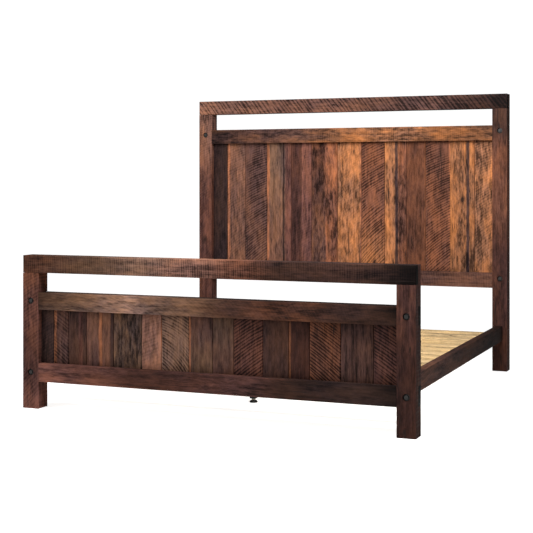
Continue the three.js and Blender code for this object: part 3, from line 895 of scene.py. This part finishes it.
def timber_piece(node, grain, look, seed, cross_step=0.0):
    """A finished piece of timber in place of a CAD node."""
    settings = bpy.context.scene.bed_timber
    piece = copy_node(node, f"{node}_wood")
    ease_edges(piece, settings.eased_edge)
    slice_piece(piece, LENGTH_AXIS[grain], settings.slice_step)
    if cross_step:
        for axis in range(3):
            if axis != LENGTH_AXIS[grain]:
                slice_piece(piece, axis, cross_step)
    hollow_out(piece, settings.unevenness)
    material = timber(f"{node}_timber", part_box(node), grain, look, seed)
    return finish_piece(piece, material, [node])


def metal_piece(node, suffix, material, width, segments=2, body=FRAME_BODY):
    """A finished piece of metal or plastic in place of a CAD node."""
    piece = copy_node(node, f"{node}_{suffix}")
    ease_edges(piece, width, segments)
    return finish_piece(piece, material, [node], body)


# ---- one operator for each piece


class BED_OT_end_members(bpy.types.Operator):
    """Build the posts and cross members of both ends"""

    bl_idname = "bed.end_members"
    bl_label = "Posts and cross members"

    def execute(self, context):
        seed = MEMBER_SEED
        for node, look in MEMBER_LOOKS.items():
            grain, slot = (GRAIN_UP, "post_timber") if "post" in node else (
                GRAIN_ACROSS, "rail_timber")
            timber_piece(node, grain, look, seed, CROSS_STEP)
            seed += 1.0
        return {"FINISHED"}


class BED_OT_boards(bpy.types.Operator):
    """Build the shiplapped boards of both ends"""

    bl_idname = "bed.boards"
    bl_label = "Boards"

    def execute(self, context):
        seed = BOARD_SEED
        for end in ENDS:
            for index, look in enumerate(BOARD_LOOKS[end], 1):
                node = f"{end}_board_{index:02d}"
                timber_piece(node, GRAIN_UP, look, seed)
                seed += 1.0
        return {"FINISHED"}


class BED_OT_side_rails(bpy.types.Operator):
    """Build the side rails, their ledgers and the ledgers' screws"""

    bl_idname = "bed.side_rails"
    bl_label = "Side rails and ledgers"

    head_radius = 0.0045
    head_sink = 0.001
    head_rise = 0.0022
    head_edge = 0.0012
    screw_places = (-0.9, -0.6, -0.3, 0.3, 0.6, 0.9)  # and one more in the middle

    def execute(self, context):
        zinc = speckled("ledger_screw_zinc", "zinc", 0.35, 1.0, 0.15)
        for index, side in enumerate(SIDES):
            timber_piece(f"side_rail_{side}", GRAIN_ALONG, SIDE_RAIL_PAINTED_SHADE_LOOK,
                         SIDE_RAIL_SEED + index, CROSS_STEP)
            timber_piece(f"slat_ledger_{side}", GRAIN_ALONG, LEDGER_LOOK,
                         LEDGER_SEED + index)
            self.add_screws(side, zinc)
        return {"FINISHED"}

    def add_screws(self, side, material):
        """Round-headed screws through the ledger's inner face, one modelled and then copied."""
        low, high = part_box(f"slat_ledger_{side}")
        inward = 1 if side == "left" else -1
        face = high.x if side == "left" else low.x
        middle = (low.z + high.z) / 2
        screw = add_round(f"ledger_screws_{side}", self.head_radius,
                          (face - inward * self.head_sink, 0, middle),
                          (face + inward * self.head_rise, 0, middle))
        ease_edges(screw, self.head_edge)
        others = [copy_piece(screw, screw.name, (0, y, 0)) for y in self.screw_places]
        finish_piece(join_pieces([screw] + others), material)


class BED_OT_hook_plates(bpy.types.Operator):
    """Build the hook plates on the side rails' ends"""

    bl_idname = "bed.hook_plates"
    bl_label = "Hook plates"

    def execute(self, context):
        edge = context.scene.bed_hardware.metal_edge
        steel = speckled("hook_plate_steel", "black", 0.5, 0.8)
        for end in ("foot", "head"):
            for side in SIDES:
                metal_piece(f"rail_hook_plate_{end}_{side}", "steel", steel, edge)
        return {"FINISHED"}


class BED_OT_slats(bpy.types.Operator):
    """Build the slats, the straps that join them and the staples"""

    bl_idname = "bed.slats"
    bl_label = "Slat roll"

    count = 13
    slat_width = 0.070
    slat_thickness = 0.019
    slat_edge = 0.003
    slat_step = 0.12       # spacing of the cuts that carry the hollows
    slat_hollows = 0.0004
    strap_thickness = 0.0012
    strap_width = 0.040
    strap_offset = 0.520
    strap_inset = 0.004
    strap_gap = 0.0001
    strap_edge = 0.0004
    strap_step = 0.04
    strap_hollows = 0.0002
    staple_reach = 0.006   # half of the crown's length
    staple_bend = 0.0048   # where the legs begin
    staple_leg = 0.008
    staple_step = 0.02     # from the middle of the slat
    wire_half_size = (0.0006, 0.0004)

    def execute(self, context):
        low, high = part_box("slat_roll")
        top = high.z
        under = top - self.slat_thickness
        first = low.y + self.slat_width / 2
        pitch = (high.y - low.y - self.slat_width) / (self.count - 1)
        places = [first + pitch * index for index in range(self.count)]
        for index, y in enumerate(places):
            box = (Vector((low.x, y - self.slat_width / 2, under)),
                   Vector((high.x, y + self.slat_width / 2, top)))
            slat = add_block(f"slat_{index + 1:02d}", *box)
            ease_edges(slat, self.slat_edge, 3)
            slice_piece(slat, 0, self.slat_step)
            hollow_out(slat, self.slat_hollows)
            material = timber(f"{slat.name}_timber", box, GRAIN_ACROSS, SLAT_LOOK,
                              SLAT_SEED + index)
            finish_piece(slat, material, ["slat_roll"])
        webbing = woven("strap_webbing", "webbing")
        zinc = speckled("staple_zinc", "zinc", 0.3, 1.0, 0.1)
        for side, sign in zip(SIDES, (-1, 1)):
            x = sign * self.strap_offset
            self.add_strap(side, x, low, high, under, webbing)
            self.add_staples(side, x, places, under, zinc)
        return {"FINISHED"}

    def add_strap(self, side, x, low, high, under, material):
        """A flat strap with thin edges, cut into steps and sunk a little here and there."""
        half = self.strap_width / 2
        strap = add_block(
            f"slat_strap_{side}",
            (x - half, low.y + self.strap_inset, under - self.strap_thickness),
            (x + half, high.y - self.strap_inset, under - self.strap_gap),
        )
        ease_edges(strap, self.strap_edge)
        slice_piece(strap, 1, self.strap_step)
        hollow_out(strap, self.strap_hollows)
        finish_piece(strap, material, ["slat_roll"])

    def add_staples(self, side, x, places, under, material):
        """Two staples in each slat, one bent from a bar and then copied."""
        half_width, half_height = self.wire_half_size
        foot = under - self.strap_thickness
        pattern = add_block(
            "staple_pattern", (x - self.staple_reach, -half_width, foot - half_height),
            (x + self.staple_reach, half_width, foot + half_height),
        )
        select_only(pattern)
        set_mode("EDIT")
        for bend in (x - self.staple_bend, x + self.staple_bend):
            cut_round((bend, 0, foot), (1, 0, 0))
        set_mode("OBJECT")
        select_faces(pattern, lambda centre, normal: (
            abs(centre.x - x) > self.staple_bend and normal.z > 0.9))
        leg = {"value": (0, 0, self.staple_leg)}
        bpy.ops.mesh.extrude_region_move(TRANSFORM_OT_translate=leg)
        set_mode("OBJECT")
        staples = [
            copy_piece(pattern, f"slat_staples_{side}", (0, y + step, 0))
            for y in places for step in (-self.staple_step, self.staple_step)
        ]
        delete_piece(pattern)
        finish_piece(join_pieces(staples), material)


class BED_OT_bolts(bpy.types.Operator):
    """Build one lap bolt with its washer, and copy it to every lap"""

    bl_idname = "bed.bolts"
    bl_label = "Lap bolts"

    head_reach = 0.0105  # just outside the hexagon's corners
    head_insets = (0.002, 0.003)
    head_edge = 0.0012
    # Darkens the washer below the blackened steel: painted shade in the recess round the head
    washer_shade_gain = 0.25

    def execute(self, context):
        steel = speckled("bolt_steel", "black", 0.5, 0.6, 0.3)
        washer_steel = speckled("washer_steel", "black", 0.6, 0.6, 0.3, self.washer_shade_gain)
        pattern = None
        for end in ENDS:
            for level in ("lower", "upper"):
                for side in SIDES:
                    node = f"{end}_bolt_{level}_{side}"
                    low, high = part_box(node)
                    place = Vector(((low.x + high.x) / 2, low.y, (low.z + high.z) / 2))
                    if pattern is None:
                        pattern, home = self.model_bolt(node), place
                    piece = copy_piece(pattern, f"{node}_steel", place - home)
                    finish_piece(piece, steel, [node])
                    self.paint_washer_shade(piece, place, washer_steel)
        delete_piece(pattern)
        return {"FINISHED"}

    def paint_washer_shade(self, piece, place, material):
        """Gives the faces outside the head the washer's finish: blackened steel, darkened further
        as painted shade in the recess round the head.
        """
        piece.data.materials.append(material)
        for face in piece.data.polygons:
            reach = math.hypot(face.center.x - place.x, face.center.z - place.z)
            if reach > self.head_reach:
                face.material_index = 1

    def model_bolt(self, node):
        """A bolt with a crowned head, on a merged copy of the node."""
        piece = copy_node(node, "bolt_pattern")
        low, _ = box_of(piece)
        select_faces(piece, lambda centre, normal: (
            centre.y < low.y + TOUCHING and normal.y < -0.9))
        for thickness in self.head_insets:
            bpy.ops.mesh.inset(thickness=thickness, depth=0.0)
        set_mode("OBJECT")
        ease_edges(piece, self.head_edge, 3, 25)
        return piece


class BED_OT_centre_support(bpy.types.Operator):
    """Build the steel support under the middle of the slats"""

    bl_idname = "bed.centre_support"
    bl_label = "Centre support"

    leg_offset = 0.52
    weld_half = 0.0185
    weld_low = 0.1785
    weld_high = 0.1822
    weld_edge = 0.0017
    weld_step = 0.004
    weld_hollows = 0.0006
    steel_edge = 0.0009

    def execute(self, context):
        coat = speckled("support_powder_coat", "powder", 0.5, 0.0, 0.2)
        piece = copy_node("centre_support", "centre_support_steel")
        ease_edges(piece, self.steel_edge)
        finish_piece(piece, coat, ["centre_support"])
        half, low, high = self.weld_half, self.weld_low, self.weld_high
        for name, y in (("foot", -self.leg_offset), ("head", self.leg_offset)):
            weld = add_block(f"leg_weld_{name}", (-half, y - half, low), (half, y + half, high))
            ease_edges(weld, self.weld_edge, 3)
            for axis in (0, 1):
                slice_piece(weld, axis, self.weld_step)
            hollow_out(weld, self.weld_hollows)
            finish_piece(weld, coat)
        return {"FINISHED"}


class BED_OT_levellers(bpy.types.Operator):
    """Build the two levelling feet: a threaded stud and a pad each"""

    bl_idname = "bed.levellers"
    bl_label = "Levelling feet"

    thread_start = 0.0165  # above the stud's lower end
    root_scale = 0.86
    pad_edge = 0.0012

    def execute(self, context):
        pitch = context.scene.bed_hardware.thread_pitch
        zinc = speckled("stud_zinc", "zinc", 0.3, 1.0, 0.12)
        plastic = speckled("pad_plastic_black", "pad", 0.55, 0.0, 0.2)
        for end in ("foot", "head"):
            pad = f"leveller_pad_{end}"
            metal_piece(pad, "plastic", plastic, self.pad_edge, 3, body=pad)
            node = f"leveller_stud_{end}"
            stud = copy_node(node, f"{node}_zinc")
            self.cut_thread(stud, pitch)
            finish_piece(stud, zinc, [node], body=node, smooth=25)
        return {"FINISHED"}

    def cut_thread(self, stud, pitch):
        """Cuts a crest and a root at every pitch above the hexagon, and draws in the root."""
        low, high = box_of(stud)
        middle = (low + high) / 2
        select_only(stud)
        set_mode("EDIT")
        scale = (self.root_scale, self.root_scale, 1.0)
        z = low.z + self.thread_start
        while z < high.z - pitch:
            for level in (z, z + pitch / 2):
                centre = (middle.x, middle.y, level)
                cut_round(centre, (0, 0, 1))
            bpy.ops.transform.resize(value=scale, center_override=centre)
            z += pitch
        set_mode("OBJECT")


class BED_OT_stage(bpy.types.Operator):
    """Set the floor, the light and the camera"""

    bl_idname = "bed.stage"
    bl_label = "Stage"

    floor_size = 40.0
    floor_level = -0.0002  # just clear of the pieces that stand on it
    camera_place = (2.498, -6.505, 1.169)
    camera_turn = 22.05
    camera_rise = -0.159
    sensor_width = 36.0

    def execute(self, context):
        settings = context.scene.bed_stage
        self.add_floor(settings)
        self.add_surround(settings)
        for name, place, target, size, power in (
            ("Head light", (0.9, -1.5, 2.7), (0.3, 1.0, 0.95), 1.6, settings.head_light),
            ("Foot light", (-2.8, -4.6, 2.4), (-0.5, -1.1, 0.5), 2.4, settings.foot_light),
        ):
            self.add_light(name, place, target, size, power)
        self.add_camera(settings)
        context.scene.view_settings.view_transform = "Standard"
        return {"FINISHED"}

    def add_floor(self, settings):
        select_only()
        bpy.ops.mesh.primitive_plane_add(size=self.floor_size, location=(0, 0, self.floor_level))
        floor = take_new("studio_floor")
        material, bench, shader = new_material("studio_floor_paint")
        seen = bench.add("LightPath").outputs["Is Camera Ray"]
        bench.feed_all(
            shader, Base_Color=linear(settings.floor), Roughness=0.9, Specular_IOR_Level=0.1,
            Emission_Color=WHITE, Emission_Strength=bench.times(seen, settings.floor_glow),
        )
        floor.data.materials.append(material)

    def add_surround(self, settings):
        """White to the camera, and an even light of its own strength on everything else."""
        world = bpy.data.worlds.new("Studio surround")
        bpy.context.scene.world = world
        world.use_nodes = True
        bench = NodeBench(world.node_tree)
        background = world.node_tree.nodes["Background"]
        seen = bench.add("LightPath").outputs["Is Camera Ray"]
        sideways = bench.split(bench.add("TexCoord").outputs["Generated"])[0]
        shaded = bench.times_plus(bench.ease(sideways, -0.1, 0.6), -0.8, 1.0)
        even = bench.times(shaded, settings.surround)
        lift = bench.times(seen, bench.less(1.05, even))
        bench.feed_all(background, Color=WHITE, Strength=bench.plus(even, lift))

    def add_light(self, name, place, target, size, power):
        """A square soft light that looks at a point."""
        light = bpy.data.lights.new(name, "AREA")
        light.shape = "SQUARE"
        light.size = size
        light.energy = power
        lamp = self.place_object(name, light, place)
        aim = Vector(target) - Vector(place)
        lamp.rotation_euler = aim.to_track_quat("-Z", "Y").to_euler()

    def add_camera(self, settings):
        """Looks level from the foot's right, with the horizon above the middle."""
        data = bpy.data.cameras.new("Camera")
        data.sensor_width = self.sensor_width
        data.lens = settings.lens
        data.shift_y = self.camera_rise
        camera = self.place_object("Camera", data, self.camera_place)
        camera.rotation_euler = (math.pi / 2, 0.0, math.radians(self.camera_turn))
        bpy.context.scene.camera = camera

    def place_object(self, name, data, place):
        """A light or a camera at its place."""
        item = bpy.data.objects.new(name, data)
        bpy.context.scene.collection.objects.link(item)
        item.location = place
        return item


class BED_PT_frame(bpy.types.Panel):
    """The bed frame's settings and steps"""

    bl_idname = "BED_PT_frame"
    bl_label = "Bed frame"
    bl_space_type = "VIEW_3D"
    bl_region_type = "UI"
    bl_category = "Bed frame"

    def draw(self, context):
        for group_name in SETTINGS:
            settings = getattr(context.scene, group_name)
            box = self.layout.box()
            for name in settings.bl_rna.properties.keys():
                if name not in {"rna_type", "name"}:
                    box.prop(settings, name)
        for step in STEPS:
            self.layout.operator(step.bl_idname)


STEPS = (
    BED_OT_end_members, BED_OT_boards, BED_OT_side_rails, BED_OT_hook_plates, BED_OT_slats,
    BED_OT_bolts, BED_OT_centre_support, BED_OT_levellers, BED_OT_stage,
)
SETTINGS = {
    "bed_timber": BedTimberSettings,
    "bed_hardware": BedHardwareSettings,
    "bed_stage": BedStageSettings,
}


def register():
    for settings in SETTINGS.values():
        bpy.utils.register_class(settings)
    for name, settings in SETTINGS.items():
        setattr(bpy.types.Scene, name, bpy.props.PointerProperty(type=settings))
    for step in STEPS:
        bpy.utils.register_class(step)
    bpy.utils.register_class(BED_PT_frame)


def unregister():
    bpy.utils.unregister_class(BED_PT_frame)
    for step in reversed(STEPS):
        bpy.utils.unregister_class(step)
    for name, settings in SETTINGS.items():
        delattr(bpy.types.Scene, name)
        bpy.utils.unregister_class(settings)


def main():
    """Builds everything."""
    register()
    for step in STEPS:
        operator_name = step.bl_idname.split(".")[1]
        result = getattr(bpy.ops.bed, operator_name)()
        if result != {"FINISHED"}:
            raise RuntimeError(f"{step.bl_idname} did not finish")
    select_only()


if __name__ == "__main__":
    main()
